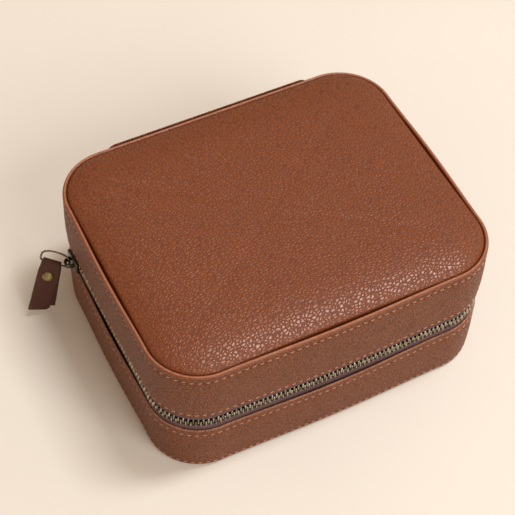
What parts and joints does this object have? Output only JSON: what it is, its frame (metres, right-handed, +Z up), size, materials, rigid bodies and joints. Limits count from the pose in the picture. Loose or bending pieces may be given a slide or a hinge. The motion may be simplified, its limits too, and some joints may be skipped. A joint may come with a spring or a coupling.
{
  "type": "jewellery case",
  "caption": "Zipped leather jewellery case with a padded lid, a mirror, ring rolls and compartments, and a leather pull tab on the zip.",
  "frame": {"origin": "middle of the underside, on the surface that the case stands on", "axes": "+Z up, -Y towards the front, +Y towards the hinge, +X to the right seen from the front; the parked slider is on -X"},
  "size_m": [0.188, 0.135, 0.075],
  "materials": {
    "case_leather": "pebbled, semi-matte",
    "welt_leather": "smooth folded edge, semi-matte",
    "tab_leather": "smooth, semi-matte",
    "zip_tape": "woven tape",
    "zip_metal": "antique brass, worn bright on the teeth",
    "slider_metal": "dark antique brass",
    "rivet_metal": "satin brass",
    "lining": "brushed microsuede",
    "board": "grey greyboard",
    "foam": "open foam",
    "mirror": "polished"
  },
  "bodies": {
    "base": {"base_bottom_leather": "case_leather", "base_floor_board": "board", "base_wall_board": "board", "base_wall_foam": "foam", "base_wall_leather": "case_leather", "base_wall_lining": "lining", "base_floor_pad": "lining", "long_divider": "lining", "left_divider": "lining", "right_divider": "lining", "ring_rolls": "lining", "base_zip_tape": "zip_tape", "base_zip_chain": "zip_metal", "zip_stop": "zip_metal", "hinge_leather": "case_leather", "hinge_strip": "zip_tape"},
    "lid": {"lid_wall_leather": "case_leather", "lid_wall_foam": "foam", "lid_wall_board": "board", "lid_wall_lining": "lining", "lid_top_board": "board", "lid_ceiling_lining": "lining", "lid_welt": "welt_leather", "lid_foam": "foam", "lid_top_leather": "case_leather", "lid_mirror": "mirror", "lid_mirror_frame": "case_leather", "lid_zip_tape": "zip_tape", "lid_zip_chain": "zip_metal"},
    "slider": {"slider_body": "slider_metal", "slider_bridge": "slider_metal"},
    "link": {"puller_link": "slider_metal"},
    "pull": {"pull_tab": "tab_leather", "tab_rivet": "rivet_metal"}
  },
  "joints": [
    {"name": "lid_hinge", "type": "hinge", "parent": "base", "child": "lid", "pos_m": [0, 0.067, 0.0353], "axis": [-1, 0, 0], "range_deg": [0, 160], "deforming": ["hinge_leather", "hinge_strip"]},
    {"name": "slider_travel", "type": "slide", "parent": "base", "child": "slider", "axis": [0, -1, 0], "range_m": [0, 0.073]},
    {"name": "link_swing", "type": "hinge", "parent": "slider", "child": "link", "pos_m": [-0.0847, 0.04, 0.0353], "axis": [0, 0, 1], "range_deg": [-10, 60]},
    {"name": "tab_swing", "type": "hinge", "parent": "link", "child": "pull", "pos_m": [-0.09174, 0.04436, 0.03427], "axis": [-0.7883, 0.5628, 0.2486], "range_deg": [-12, 30]}
  ]
}
